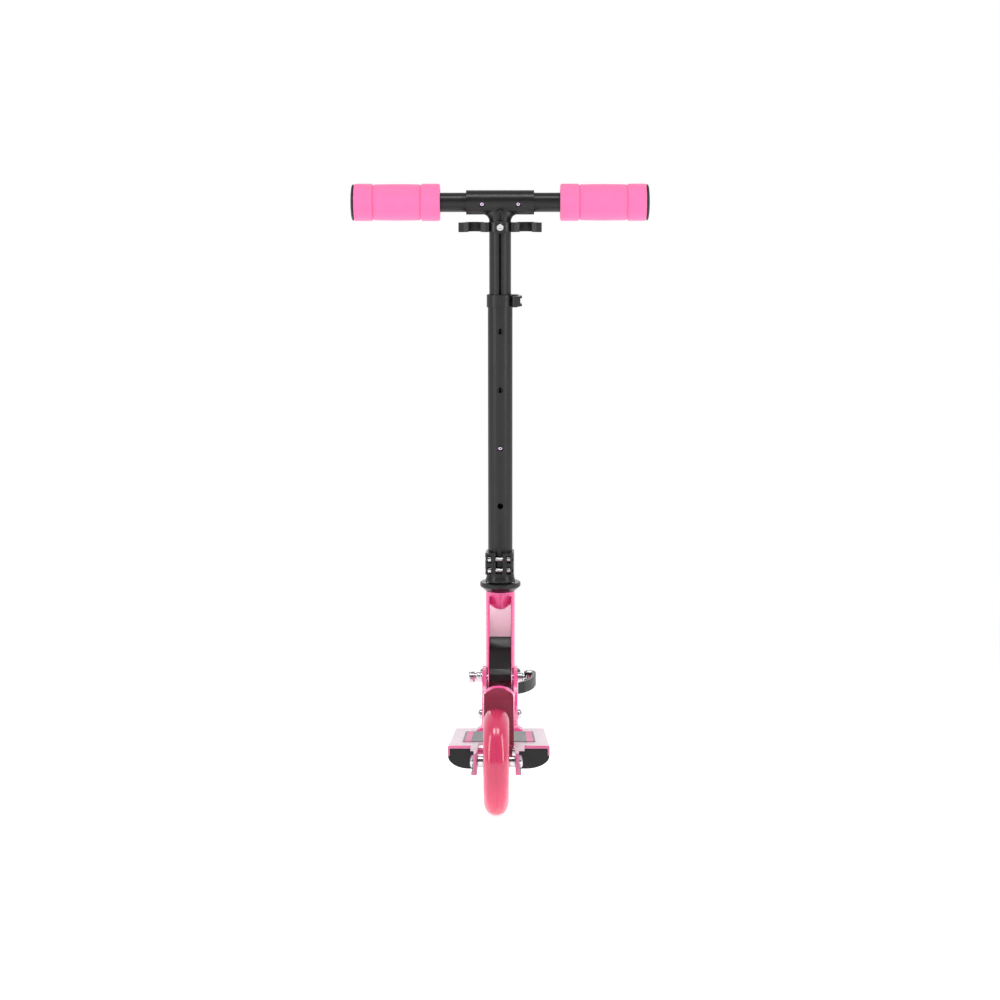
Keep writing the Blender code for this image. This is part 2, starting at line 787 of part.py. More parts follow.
def column_clamp(parent):
    """The double-bolt clamp, open at the back."""
    body = prism(clamp_outline(), CLAMP_LOW, CLAMP_HIGH)
    place = COLUMN @ turn(CLAMP_TURN, "Z")
    clamp = add("column_clamp", body, place, black_paint(), parent)
    pockets = []
    holes = []
    for at in CLAMP_BOLTS:
        for side in (-1, 1):
            low, high = sorted((side * 9, side * 13.6))
            pockets.append(box(low, high, -25, -14.8, at - 4.1, at + 4.1))
        holes.append(placed(rod(2.7, -30, 30, 12), clamp_bolt_frame(at)))
    carve(clamp, together(*pockets), place)
    return carve(clamp, together(*holes), place)


def clamp_bolt_frame(at):
    """A clamp bolt's axis, in the clamp's own frame."""
    return translation(0, -18.5, at) @ AXLE


def clamp_bolts(parent):
    half = [(2.4, 9.4), (3.7, 9.4), (3.7, 13.2), (2.0, 13.2), (0, 13.2)]
    profile = list(reversed(half)) + [(radius, -side) for radius, side in half]
    for name, at in zip(("lower", "upper"), CLAMP_BOLTS):
        place = COLUMN @ turn(CLAMP_TURN, "Z") @ clamp_bolt_frame(at)
        add("clamp_bolt_" + name, turned(profile, 12), place, bright_metal(), parent)


def rear_hole(radius, at, near=8, far=24, steps=16):
    """A cutter through one wall of the column's back, in the column frame."""
    return placed(rod(radius, near, far, steps), translation(0, 0, at) @ ALONG)


def lower_column(parent):
    """The outer column tube: a row of holes and, inside, a groove for the button."""
    top = COLLAR_HIGH - 0.5
    body = tube(LOWER_RADIUS, LOWER_BORE, CLAMP_LOW + 0.5, top, 36)
    column = add("lower_column", body, COLUMN, black_paint(), parent)
    carve(column, box(-2.95, 2.95, -13.6, -11, 245, top + 5), COLUMN)
    holes = [rear_hole(3.35, BUTTON_AT + HOLE_PITCH * i) for i in (-1, 0, 1, 2)]
    return carve(column, together(*holes), COLUMN)


def collar_outline():
    """The split collar with two ears on the right, as (x, y) points."""
    bore, outer, slit, ear, half = 14.6, 15.6, 1.2, 20.0, 5.0
    edge = math.degrees(math.asin(slit / bore))
    root = math.degrees(math.asin(half / outer))
    outline = [(ear, slit), (ear, half)]
    outline += arc((0, 0), outer, root, 360 - root, 30)
    outline += [(ear, -half), (ear, -slit)]
    return outline + arc((0, 0), bore, 360 - edge, edge, 30)


def height_collar(parent):
    body = prism(collar_outline(), COLLAR_LOW, COLLAR_HIGH)
    collar = add("height_collar", body, COLUMN, black_paint(), parent)
    middle = (COLLAR_LOW + COLLAR_HIGH) / 2
    across = translation(COLLAR_BOLT_X, 0, middle) @ ALONG
    return carve(collar, rod(2.0, -25, 25, 16), COLUMN @ across)


def collar_bolt(parent):
    profile = [(0, 5.2), (1.7, 5.2), (1.7, -5.3), (2.6, -5.3), (2.6, -9), (0, -9)]
    place = on_column(COLLAR_BOLT_X, 0, (COLLAR_LOW + COLLAR_HIGH) / 2) @ ALONG
    add("collar_bolt", turned(profile, 14), place, bright_metal(), parent)


def collar_lever_outline():
    """The collar lever seen from above, as (x, y) points from its pin."""
    head = arc((0, 0), 4.0, 35, 280, 14)
    outer = [(4.6, -3.2), (6.1, -1.5), (6.1, 22), (4.7, 33), (0.8, 42.5)]
    return head + outer + [(-0.7, 40), (2.3, 32), (3.7, 22), (3.7, 2.6)]


def collar_lever(parent):
    """The cam lever, which lies forwards along the collar's ears when it is closed."""
    x, y = COLLAR_PIN
    middle = (COLLAR_LOW + COLLAR_HIGH) / 2
    place = on_column(x, y, middle)
    body = prism(collar_lever_outline(), -6, 6)
    lever = add("collar_lever", body, place, black_plastic(), parent)
    flange = [(5.6, 2), (8.0, 4), (8.0, 20), (5.6, 27)]
    rims = together(prism(flange, -5.9, -3.2), prism(flange, 3.2, 5.9))
    return carve(lever, rims, place, "UNION")


# Upper column and its pieces


def bar_button_turn():
    """Turns a shape's local Z to point out of a handlebar's button hole."""
    return turn(BAR_BUTTON_TILT, "X") @ ALONG


def tee_cutters():
    """The T's two button holes and, inside, the grooves that the buttons slide in."""
    holes = []
    grooves = []
    for side in (-1, 1):
        place = translation(side * BAR_BUTTON_AT, 0, 0) @ bar_button_turn()
        holes.append(placed(rod(3.1, 8, 20, 16), place))
        low, high = sorted((side * (BAR_BUTTON_AT - 2.95), side * 60))
        groove = box(low, high, -13.4, -9, -2.95, 2.95)
        grooves.append(placed(groove, turn(BAR_BUTTON_TILT, "X")))
    return together(*holes), together(*grooves)


def flared_column():
    """The tube, growing wider from side to side, but not in depth, up to the T."""
    widths = {UPPER_LOW: UPPER_RADIUS, FLARE_LOW: UPPER_RADIUS}
    widths |= {606.0: 13.3, 608.3: 14.8, 610.8: 17.6, FLARE_HIGH: 12.9}
    outline = [(UPPER_RADIUS, height) for height in widths]
    bm = turned([(0, UPPER_LOW)] + outline + [(0, FLARE_HIGH)], 36)
    for vert in bm.verts:
        height = min(widths, key=lambda h: abs(h * MM - vert.co.z))
        vert.co.x *= widths[height] / UPPER_RADIUS
    return bm


def upper_column(parent):
    """The inner column tube, flared where it is welded to the T, with a slot behind."""
    tee = on_column(0, 0, TEE_AT) @ turn(math.radians(3), "X")  # no shared edges
    column = add("upper_column", flared_column(), COLUMN, black_paint(), parent)
    carve(column, rod(TEE_RADIUS, -TEE_HALF, TEE_HALF, 32), tee @ AXLE, "UNION")
    carve(column, rod(UPPER_BORE, UPPER_LOW - 5, TEE_AT - 20, 32), COLUMN)
    keyway = box(-KEYWAY_HALF, KEYWAY_HALF, -14, -9.5, BUTTON_AT + 25, KEYWAY_HIGH)
    carve(column, keyway, COLUMN)
    carve(column, rear_hole(2.95, BUTTON_AT), COLUMN)
    for cutter in tee_cutters():
        carve(column, cutter, on_column(0, 0, TEE_AT))
    return carve(column, rod(TEE_BORE, -60, 60, 32), tee @ AXLE)


def snap_button(tip, bore):
    """A domed button with a flange inside its tube, pointing along local Z."""
    foot = bore - 5.5
    flange = [(0, foot), (3.8, foot), (3.8, foot + 1.5), (2.6, foot + 1.5)]
    return turned(flange + [(2.6, tip - 0.9), (1.9, tip - 0.2), (0, tip)], 16)


def button(name, tip, bore, leaf, place, parent):
    """A snap button riveted to the leaf of its spring; leaf is a box's x and y ends."""
    piece = add(name, snap_button(tip, bore), place, bright_metal(), parent)
    left, right, rear, front = leaf
    strip = box(left, right, rear, front, bore - 6.4, bore - 5.1)
    return carve(piece, strip, place, "UNION")


def height_button(parent):
    place = on_column(0, 0, BUTTON_AT) @ ALONG
    button("height_button", 13.3, UPPER_BORE, (-2.6, 2.6, -19, 4.4), place, parent)


def claw_body():
    """One open clip, filled in, as (x, y) points about its centre; it opens to -y."""
    outer = arc((0, 0), 14, -28, 208, 20)
    inner_lip = [(-13, -7.5), (-15.6, -10), (-16.5, -11.4), (-16.5, -12.5)]
    return outer + inner_lip + [(18.4, -12.5), (18.4, -11.4), (17.2, -9.6), (13.2, -7.5)]


def claw_space():
    """The space inside a clip: a round seat, a narrower throat and flared lips."""
    throat = [(-12.5, -12.6), (-12.5, -20), (12.5, -20), (12.5, -12.6)]
    return arc((0, 0), 11.4, -52, 232, 24) + throat


def handlebar_clip(parent):
    """The clip block, whose two open claws hold the handlebars when they come off."""
    low, high = CLIP_AT - CLIP_HALF, CLIP_AT + CLIP_HALF
    ring = prism(circle((0, 0), 16, 32), low + 0.05, high - 0.05)
    clip = add("handlebar_clip", ring, COLUMN, black_plastic(), parent)
    bridge = box(-24, 24, -7.5, 3.5, low + 0.3, high - 0.3)
    carve(clip, bridge, COLUMN, "UNION")
    boss = box(-5.8, 5.8, -16.2, -10, CLIP_AT - 7, CLIP_AT + 7)
    carve(clip, boss, COLUMN, "UNION")
    x, y = CLAW_AT
    for side in (-1, 1):
        place = translation(side * x, y, 0)
        body = [(side * px, py) for px, py in claw_body()]
        space = [(side * px, py) for px, py in claw_space()]
        carve(clip, placed(prism(body, low, high), place), COLUMN, "UNION")
        carve(clip, placed(prism(space, low - 5, high + 5), place), COLUMN)
        notch = box(-1.6, 1.6, 9, 12.9, low - 5, high + 5)
        carve(clip, placed(notch, place), COLUMN)
    carve(clip, rod(UPPER_RADIUS + GAP, low - 5, high + 5, 36), COLUMN)
    return carve(clip, rear_hole(2.7, CLIP_AT, steps=12), COLUMN)


def clip_bolt(parent):
    profile = [(0, 13.3), (2.4, 13.3), (2.4, 16.5), (4.0, 16.5), (4.0, 19.5), (3.6, 20)]
    profile += [(1.5, 20), (1.5, 18), (0, 18)]
    place = on_column(0, 0, CLIP_AT) @ ALONG
    add("clip_bolt", turned(profile, 14), place, bright_metal(), parent)


# Handlebars


def grip_profile():
    """The foam grip's three sections, with rounded ends and two shallow grooves."""
    ring, low, high = GRIP_RADIUS, GRIP_INNER, GRIP_OUTER
    inner = [(11.4, low), (ring - 2.4, low), (ring - 0.7, low + 0.8), (ring, low + 2.6)]
    inner += [(ring, low + 20.4), (19.5, low + 22.2), (20.4, low + 24)]
    outer = [(20.4, high - 23.2), (19.5, high - 21.6), (ring, high - 20)]
    outer += [(ring, high - 2.6), (ring - 0.7, high - 0.8), (ring - 2.4, high), (11.4, high)]
    return inner + [(20.8, (low + high) / 2)] + outer


def handlebar(side, sign, parent):
    """One bar, with its grip, end cap and snap button; local Z points outwards."""
    tee = on_column(0, 0, TEE_AT)
    place = tee @ turn(sign * math.pi / 2, "Y")
    hole = tee @ translation(sign * BAR_BUTTON_AT, 0, 0) @ bar_button_turn()
    body = tube(BAR_RADIUS, BAR_BORE, BAR_INNER, BAR_OUTER, 32)
    bar = add(side + "_bar", body, place, black_paint(), parent)
    carve(bar, rod(2.95, 5, 20, 16), hole)
    foam = finish("pink_foam", (0.93, 0.22, 0.50), 0.8)
    add(side + "_grip", turned(grip_profile(), 32), place, foam, parent)
    cap = [(0, 156), (9.2, 156), (9.2, 168.2), (20.8, 168.2), (20.8, 168.8)]
    cap += [(19.6, 170.1), (14, 171.1), (0, 171.4)]
    add(side + "_bar_cap", turned(cap, 32), place, black_plastic(), parent)
    ends = sorted((-sign * 4.4, sign * 19))
    button(side + "_button", 13.1, BAR_BORE, (*ends, -2.6, 2.6), hole, parent)


def clear_scene():
    for obj in list(bpy.data.objects):
        bpy.data.objects.remove(obj)


def build_deck():
    deck_extrusion()
    grip_tape()
    end_caps()
    fold_bracket()
    bracket_bolts()
    pivot()
    axle("rear", RIB_OUTER + GAP, REAR_AXLE)
    rear_spacers()
    fender_pin()
    fender_spring()


def build_neck(parent):
    neck_channel(parent)
    channel_block(parent)
    headset(parent)
    quick_release(parent)


def build_steering(parent):
    fork(parent)
    headset_nut(parent)
    column_clamp(parent)
    clamp_bolts(parent)
    lower_column(parent)
    height_collar(parent)
    collar_bolt(parent)
    axle("front", FORK_OUTER + GAP, FRONT_AXLE, parent)


def build_top(parent):
    upper_column(parent)
    handlebar_clip(parent)
    clip_bolt(parent)


def build():
    clear_scene()
    build_deck()
    wheel("rear", REAR_AXLE, empty("rear_wheel_spin", REAR_AXLE))
    rear_fender(empty("brake_hinge", translation(0, *FENDER_PIN)))
    build_neck(empty("fold_hinge", translation(0, *FOLD_PIVOT)))
    fold_lever(empty("fold_lever_pivot", lever_frame()))
    build_steering(empty("steering_axis", COLUMN))
    wheel("front", FRONT_AXLE, empty("front_wheel_spin", FRONT_AXLE))
    middle = (COLLAR_LOW + COLLAR_HIGH) / 2
    collar_lever(empty("collar_lever_pivot", on_column(*COLLAR_PIN, middle)))
    build_top(empty("height_slide", COLUMN))
    height_button(empty("height_button_slide", on_column(0, 0, BUTTON_AT)))
    for side, sign in (("left", -1), ("right", 1)):
        handlebar(side, sign, empty(side + "_bar_slide", on_column(0, 0, TEE_AT)))


build()
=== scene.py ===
"""The looks of the kick scooter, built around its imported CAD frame.

Most pieces are skins: a CAD node's own surface with its edges rounded and its curves
shaded smooth. The tyres, the grips and the bars' end caps are turned afresh in finer
detail. Places and matrices are in metres. Profiles, edges and welds are in millimetres.
A skin takes its place from the frame; a turned piece repeats the CAD's own sizes.
"""

import json
import math

import bmesh
import bpy
from mathutils import Matrix, Vector

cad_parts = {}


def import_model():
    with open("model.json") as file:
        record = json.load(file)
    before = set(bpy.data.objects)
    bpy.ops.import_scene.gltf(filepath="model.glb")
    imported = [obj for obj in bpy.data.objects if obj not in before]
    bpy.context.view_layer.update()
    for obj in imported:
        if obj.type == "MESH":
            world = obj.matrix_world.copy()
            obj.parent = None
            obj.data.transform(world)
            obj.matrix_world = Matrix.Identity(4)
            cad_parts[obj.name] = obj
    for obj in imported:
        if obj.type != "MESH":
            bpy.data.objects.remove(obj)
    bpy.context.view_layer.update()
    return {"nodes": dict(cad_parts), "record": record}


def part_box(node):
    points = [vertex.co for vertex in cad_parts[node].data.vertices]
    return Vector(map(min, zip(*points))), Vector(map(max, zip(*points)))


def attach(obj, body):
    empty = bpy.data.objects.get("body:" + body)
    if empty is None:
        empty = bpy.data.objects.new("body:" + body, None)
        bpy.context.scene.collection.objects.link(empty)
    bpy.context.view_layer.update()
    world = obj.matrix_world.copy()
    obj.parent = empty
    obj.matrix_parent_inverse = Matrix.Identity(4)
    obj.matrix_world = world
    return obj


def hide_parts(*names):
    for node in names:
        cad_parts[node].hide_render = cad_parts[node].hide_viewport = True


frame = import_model()

MM = 0.001
RECORD = frame["record"]
BODY_OF = {n: b for b, nodes in RECORD["behaviour"]["bodies"].items() for n in nodes}

# Sizes that the CAD has too, in metres
FRONT_AXLE = (0, 0.280, 0.050)
LEAN = math.radians(12.0)
TEE_HEIGHT = 0.6242  # this height and the next are up the column, from the front axle
BUTTON_HEIGHT = 0.3408
BAR_BUTTON = 0.0207  # from the middle of the T
BAR_BUTTON_TILT = math.radians(8.0)

# Sizes that the CAD has too, in millimetres
GRIP_ENDS = (69.0, 167.9)  # from the middle of the T
PLUG_RADIUS = 9.2  # of the end cap, inside the bar
PLUG_START = 156.0  # from the middle of the T
COLUMN_RADIUS = 12.7
TEE_RADIUS = 14.0
HEAD_RADIUS = 17.0
WEB_HALF = 12.6
WEB_RISE = 1.2773  # the slope of the neck's web, measured from the column's rear
WEB_HEIGHT = 173.02  # where the web's line crosses the column's axis

COLUMN = Matrix.Translation(FRONT_AXLE) @ Matrix.Rotation(LEAN, 4, "X")
TEE = COLUMN @ Matrix.Translation((0, 0, TEE_HEIGHT))
TO_REAR = Matrix.Rotation(math.pi / 2, 4, "X")
TO_SIDE = Matrix.Rotation(math.pi / 2, 4, "Y")

TAPE_STRIPE = 0.0303  # from the centre line to the middle of each stripe
TAPE_STRIPE_HALF = 0.0031
BEVEL_ANGLE = math.radians(32)


# Materials


class Nodes:
    """A Principled material and short calls to add nodes to it."""

    def __init__(self, name, colour, roughness, metallic=0.0, coat=0.0):
        self.material = bpy.data.materials.new(name)
        self.material.use_nodes = True
        self.tree = self.material.node_tree
        self.shader = self.tree.nodes["Principled BSDF"]
        self.set("Base Color", (*colour, 1))
        self.set("Roughness", roughness)
        self.set("Metallic", metallic)
        self.set("Coat Weight", coat)
        self.where = self.tree.nodes.new("ShaderNodeTexCoord").outputs["Object"]

    def set(self, socket, value):
        self.shader.inputs[socket].default_value = value

    def link(self, output, socket):
        self.tree.links.new(output, socket)

    def noise(self, scale, detail=3.0, stretch=(1, 1, 1), roughness=0.5):
        mapping = self.tree.nodes.new("ShaderNodeMapping")
        mapping.inputs["Scale"].default_value = stretch
        self.link(self.where, mapping.inputs["Vector"])
        node = self.tree.nodes.new("ShaderNodeTexNoise")
        node.inputs["Scale"].default_value = scale
        node.inputs["Detail"].default_value = detail
        node.inputs["Roughness"].default_value = roughness
        self.link(mapping.outputs["Vector"], node.inputs["Vector"])
        return node.outputs["Fac"]

    def ramp(self, factor, low, high, start=0.3, end=0.7):
        node = self.tree.nodes.new("ShaderNodeValToRGB")
        node.color_ramp.elements[0].position = start
        node.color_ramp.elements[0].color = (*low, 1)
        node.color_ramp.elements[1].position = end
        node.color_ramp.elements[1].color = (*high, 1)
        self.link(factor, node.inputs["Fac"])
        return node.outputs["Color"]

    def spread(self, factor, low, high):
        """Maps a noise onto the roughness."""
        node = self.tree.nodes.new("ShaderNodeMapRange")
        node.inputs["From Min"].default_value = 0.3
        node.inputs["From Max"].default_value = 0.7
        node.inputs["To Min"].default_value = low
        node.inputs["To Max"].default_value = high
        self.link(factor, node.inputs["Value"])
        self.link(node.outputs["Result"], self.shader.inputs["Roughness"])

    def bump(self, height, strength, distance, before=None):
        node = self.tree.nodes.new("ShaderNodeBump")
        node.inputs["Strength"].default_value = strength
        node.inputs["Distance"].default_value = distance
        self.link(height, node.inputs["Height"])
        if before is not None:
            self.link(before, node.inputs["Normal"])
        self.link(node.outputs["Normal"], self.shader.inputs["Normal"])
        return node.outputs["Normal"]

    def mix(self, factor, a, b):
        """Mixes two colours, each a tuple or another node's output."""
        node = self.tree.nodes.new("ShaderNodeMix")
        node.data_type = "RGBA"
        self.link(factor, node.inputs["Factor"])
        colour_inputs, colour_output = node.inputs[6:8], node.outputs[2]
        for value, socket in zip((a, b), colour_inputs):
            if isinstance(value, tuple):
                socket.default_value = (*value, 1)
            else:
                self.link(value, socket)
        return colour_output

    def math(self, operation, *values):
        node = self.tree.nodes.new("ShaderNodeMath")
        node.operation = operation
        for value, socket in zip(values, node.inputs):
            if isinstance(value, float):
                socket.default_value = value
            else:
                self.link(value, socket)
        return node.outputs["Value"]

    def axis(self, name):
        node = self.tree.nodes.new("ShaderNodeSeparateXYZ")
        self.link(self.where, node.inputs["Vector"])
        return node.outputs[name]

    def colour(self, output):
        self.link(output, self.shader.inputs["Base Color"])


def scaled(colour, factor):
    return tuple(min(1.0, c * factor) for c in colour)


def painted(name, colour, roughness, coat=0.5):
    """Sprayed paint: a slight orange peel, and a little variation in tone and gloss."""
    m = Nodes(name, colour, roughness, 0.0, coat)
    m.set("Coat Roughness", 0.12)
    m.colour(m.ramp(m.noise(35, 4), scaled(colour, 0.93), scaled(colour, 1.06)))
    m.spread(m.noise(180, 4), roughness * 0.85, roughness * 1.2)
    m.bump(m.noise(900, 2), 0.12, 0.0002)
    return m.material


def satin_black(name, colour, roughness):
    """Powder coat on the tubes: a fine even grain with soft wide highlights."""
    m = Nodes(name, colour, roughness)
    m.set("Specular IOR Level", 0.36)
    m.colour(m.ramp(m.noise(60, 4), scaled(colour, 0.8), scaled(colour, 1.3)))
    m.spread(m.noise(400, 4), roughness * 0.9, roughness * 1.15)
    m.bump(m.noise(2600, 3), 0.07, 0.0001)
    return m.material


def moulded(name, colour, roughness):
    """Moulded plastic with a spark-eroded grain."""
    m = Nodes(name, colour, roughness)
    m.set("Specular IOR Level", 0.4)
    m.colour(m.ramp(m.noise(50, 3), scaled(colour, 0.8), scaled(colour, 1.4)))
    m.spread(m.noise(300, 3), roughness * 0.85, roughness * 1.15)
    m.bump(m.noise(3200, 3), 0.12, 0.00012)
    return m.material


def plated(name, colour=(0.62, 0.62, 0.64), roughness=0.14):
    """Bright plating with faint turning marks and handling haze."""
    m = Nodes(name, colour, roughness, 1.0)
    m.spread(m.noise(300, 5), roughness * 0.6, roughness * 1.9)
    m.colour(m.ramp(m.noise(120, 3), scaled(colour, 0.9), scaled(colour, 1.05)))
    m.bump(m.noise(1500, 2, stretch=(6, 1, 1)), 0.1, 0.00005)
    return m.material


def deck_finish():
    """Pale pink anodising, with the long fine lines that extrusion leaves."""
    colour = (0.88, 0.68, 0.78)
    m = Nodes("deck_anodised", colour, 0.3, 0.15, 0.3)
    lines = m.noise(700, 4, stretch=(1, 0.01, 1))
    m.colour(m.ramp(lines, scaled(colour, 0.93), scaled(colour, 1.05)))
    m.spread(m.noise(90, 4, stretch=(1, 0.1, 1)), 0.26, 0.4)
    m.bump(lines, 0.12, 0.0001)
    return m.material


def tape_finish():
    """Coarse grit, with a pink stripe printed near each long edge."""
    m = Nodes("grit_tape", (0.2, 0.2, 0.2), 0.9)
    grit = m.noise(2600, 5, roughness=0.75)
    grey = m.ramp(grit, (0.07, 0.07, 0.07), (0.56, 0.56, 0.56), 0.35, 0.68)
    pink = m.ramp(grit, (0.62, 0.14, 0.28), (0.95, 0.42, 0.60), 0.3, 0.7)
    offset = m.math("SUBTRACT", m.math("ABSOLUTE", m.axis("X")), TAPE_STRIPE)
    inside = m.math("LESS_THAN", m.math("ABSOLUTE", offset), TAPE_STRIPE_HALF)
    m.colour(m.mix(inside, grey, pink))
    m.bump(grit, 0.9, 0.0006)
    return m.material


def tyre_finish():
    """Cast polyurethane: clear near the surface and red deeper in."""
    colour = (0.64, 0.048, 0.13)
    m = Nodes("cast_polyurethane", colour, 0.16)
    m.set("Subsurface Weight", 0.3)
    m.set("Subsurface Radius", (1.0, 0.3, 0.4))
    m.set("Subsurface Scale", 0.005)
    m.set("IOR", 1.48)
    m.set("Coat Weight", 0.35)
    m.set("Coat Roughness", 0.08)
    m.colour(m.ramp(m.noise(26, 2), scaled(colour, 0.92), scaled(colour, 1.06)))
    m.spread(m.noise(120, 3), 0.16, 0.26)
    m.bump(m.noise(160, 2), 0.05, 0.0003)
    return m.material


def foam_finish():
    """Closed-cell foam: a matt skin with a fine open grain and soft mottling."""
    colour = (0.84, 0.145, 0.36)
    m = Nodes("grip_foam", colour, 0.75)
    m.set("Sheen Weight", 0.25)
    m.set("Sheen Roughness", 0.5)
    m.set("Subsurface Weight", 0.15)
    m.set("Subsurface Radius", (1.0, 0.4, 0.5))
    m.set("Subsurface Scale", 0.003)
    fine = m.noise(1500, 5, roughness=0.7)
    soft = m.noise(150, 3)
    m.colour(m.mix(fine, m.ramp(soft, scaled(colour, 0.93), colour), scaled(colour, 1.07)))
    m.bump(soft, 0.2, 0.0005, m.bump(fine, 0.5, 0.0003))
    return m.material


PINK = (0.85, 0.085, 0.30)
FINISH = {
    "pink": painted("pink_gloss", PINK, 0.25),
    # the neck's web: a paler pink as a painted reflection of the bright studio
    "web_painted_reflection": painted("pink_paint_painted_reflection", (0.95, 0.70, 0.82), 0.2, 1.0),
    # the fender's underside: a darker maroon as painted shade, where the fender shades itself
    # over the wheel
    "fender_painted_shade": painted("fender_underside_painted_shade", (0.29, 0.034, 0.072), 0.5, 0.0),
    # the deck's rear faces: a deeper magenta as painted shade
    "deck_end_painted_shade": painted("deck_rear_painted_shade", (0.78, 0.16, 0.35), 0.35, 0.2),
    "deck": deck_finish(),
    "tape": tape_finish(),
    "black": satin_black("black_powder_coat", (0.007, 0.007, 0.0075), 0.33),
    "black_gloss": satin_black("black_headset", (0.007, 0.007, 0.007), 0.3),
    "plastic": moulded("black_plastic", (0.008, 0.008, 0.0085), 0.36),
    # the buttons' centres: a black disc as painted shade
    "dark": moulded("deep_shadow", (0.004, 0.004, 0.004), 0.7),
    "core": moulded("wheel_core", (0.02, 0.02, 0.02), 0.4),
    "chrome": plated("bright_plate"),
    "button": plated("button_plate", (0.80, 0.62, 0.86), 0.2),
    "steel": plated("ground_steel", (0.6, 0.6, 0.62), 0.25),
    "tyre": tyre_finish(),
    "foam": foam_finish(),
}


# Pieces


def show(name, mesh, node, finish):
    """Adds a piece in place of a CAD node, riding on the node's body."""
    piece = bpy.data.objects.new(name, mesh)
    mesh.materials.append(FINISH[finish])
    bpy.context.scene.collection.objects.link(piece)
    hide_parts(node)
    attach(piece, BODY_OF[node])
    return piece


def smoothed(mesh, angle=34):
    mesh.shade_smooth()
    mesh.set_sharp_from_angle(angle=math.radians(angle))
    return mesh


def apply_modifiers(piece):
    bpy.context.view_layer.update()
    graph = bpy.context.evaluated_depsgraph_get()
    mesh = bpy.data.meshes.new_from_object(piece.evaluated_get(graph))
    piece.modifiers.clear()
    piece.data = mesh


def painted_shade_under_fender(face):
    """Whether a face of the fender looks at the wheel; these faces get a darker paint as
    painted shade.
    """
    inwards = middle("rear_tyre") - face.calc_center_median()
    return face.normal.dot(inwards.normalized()) > 0.5


def painted_shade_rear_face(face):
    """Whether a face of the deck looks to the rear, where the extrusion was cut off; these
    faces get a deeper magenta as painted shade.
    """
    return face.normal.y < -0.9


def painted_reflection_on_web(face):
    """Whether a face of the neck is on the rear of its web; these faces get a paler pink as a
    painted reflection of the bright surroundings.
    """
    inside = abs(face.calc_center_median().x) < WEB_HALF * MM
    return inside and face.normal.y < -0.5 and face.normal.z > 0.2


SECOND = {
    "rear_fender": ("fender_painted_shade", painted_shade_under_fender),
    "deck_extrusion": ("deck_end_painted_shade", painted_shade_rear_face),
    "neck_channel": ("web_painted_reflection", painted_reflection_on_web),
}


def skin(node, finish, edge):
    """A CAD node's surface with rounded edges; edge is the rounding in millimetres."""
    bm = bmesh.new()
    bm.from_mesh(frame["nodes"][node].data)
    bmesh.ops.remove_doubles(bm, verts=bm.verts, dist=2e-6)
    bmesh.ops.recalc_face_normals(bm, faces=bm.faces)
    flat = math.radians(0.6)  # joins the triangles of each flat face
    bmesh.ops.dissolve_limit(bm, angle_limit=flat, verts=bm.verts, edges=bm.edges)
    other, chosen = SECOND.get(node, (None, None))
    if chosen:
        for face in bm.faces:
            face.material_index = int(chosen(face))
    mesh = bpy.data.meshes.new(node + "_skin")
    bm.to_mesh(mesh)
    bm.free()
    piece = show(node + "_skin", smoothed(mesh), node, finish)
    if other:
        piece.data.materials.append(FINISH[other])
    if edge:
        bevel = piece.modifiers.new("edges", "BEVEL")
        bevel.width = edge * MM
        bevel.segments = 2
        bevel.limit_method = "ANGLE"
        bevel.angle_limit = BEVEL_ANGLE
        bevel.harden_normals = True
        apply_modifiers(piece)


def turned(profile, matrix, steps=96):
    """A closed (radius, height) profile in millimetres, turned about local Z."""
    bm = bmesh.new()
    rings = []
    for radius, height in profile:
        if radius == 0:
            rings.append([bm.verts.new(matrix @ Vector((0, 0, height * MM)))] * steps)
            continue
        ring = []
        for i in range(steps):
            angle = 2 * math.pi * i / steps
            point = Vector((radius * math.cos(angle), radius * math.sin(angle), height))
            ring.append(bm.verts.new(matrix @ (point * MM)))
        rings.append(ring)
    for ring, following in zip(rings, rings[1:] + rings[:1]):
        for i in range(steps):
            j = (i + 1) % steps
            corners = list(dict.fromkeys((ring[i], ring[j], following[j], following[i])))
            if len(corners) > 2:
                bm.faces.new(corners)
    bmesh.ops.recalc_face_normals(bm, faces=bm.faces)
    mesh = bpy.data.meshes.new("turned")
    bm.to_mesh(mesh)
    bm.free()
    return smoothed(mesh, 40)


def middle(node):
    low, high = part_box(node)
    return (low + high) / 2


def wheel(prefix):
    """A tyre with a rounded tread, a mould seam and a lip, and its core."""
    side = [(34.3, 11.3), (35.2, 11.8), (36.6, 12.0), (38.4, 11.95), (40.2, 11.7)]
    side += [(41.9, 11.2), (43.5, 10.5), (44.9, 9.75), (46.2, 8.85), (47.3, 7.85)]
    side += [(48.2, 6.7), (48.9, 5.4), (49.45, 3.9), (49.8, 2.3), (49.95, 0.6), (49.75, 0.25)]
    profile = side + [(radius, -x) for radius, x in reversed(side)]
    place = Matrix.Translation(middle(prefix + "_tyre")) @ TO_SIDE
    show(prefix + "_tyre_skin", turned(profile, place, 128), prefix + "_tyre", "tyre")
    skin(prefix + "_hub", "core", 0.5)
    for end in ("left", "right"):
        skin(f"{prefix}_bearing_{end}", "steel", 0.3)


def rounded_step(radius, start, end, rounding, steps=5):
    """The outline of a ring from start to end along its axis, with rounded shoulders."""
    points = []
    for i in range(steps + 1):
        angle = math.pi / 2 * i / steps
        across = rounding * (1 - math.sin(angle))
        points.append((radius - across, start + rounding * (1 - math.cos(angle))))
    for i in range(steps + 1):
        angle = math.pi / 2 * i / steps
        across = rounding * (1 - math.cos(angle))
        points.append((radius - across, end - rounding * (1 - math.sin(angle))))
    return points


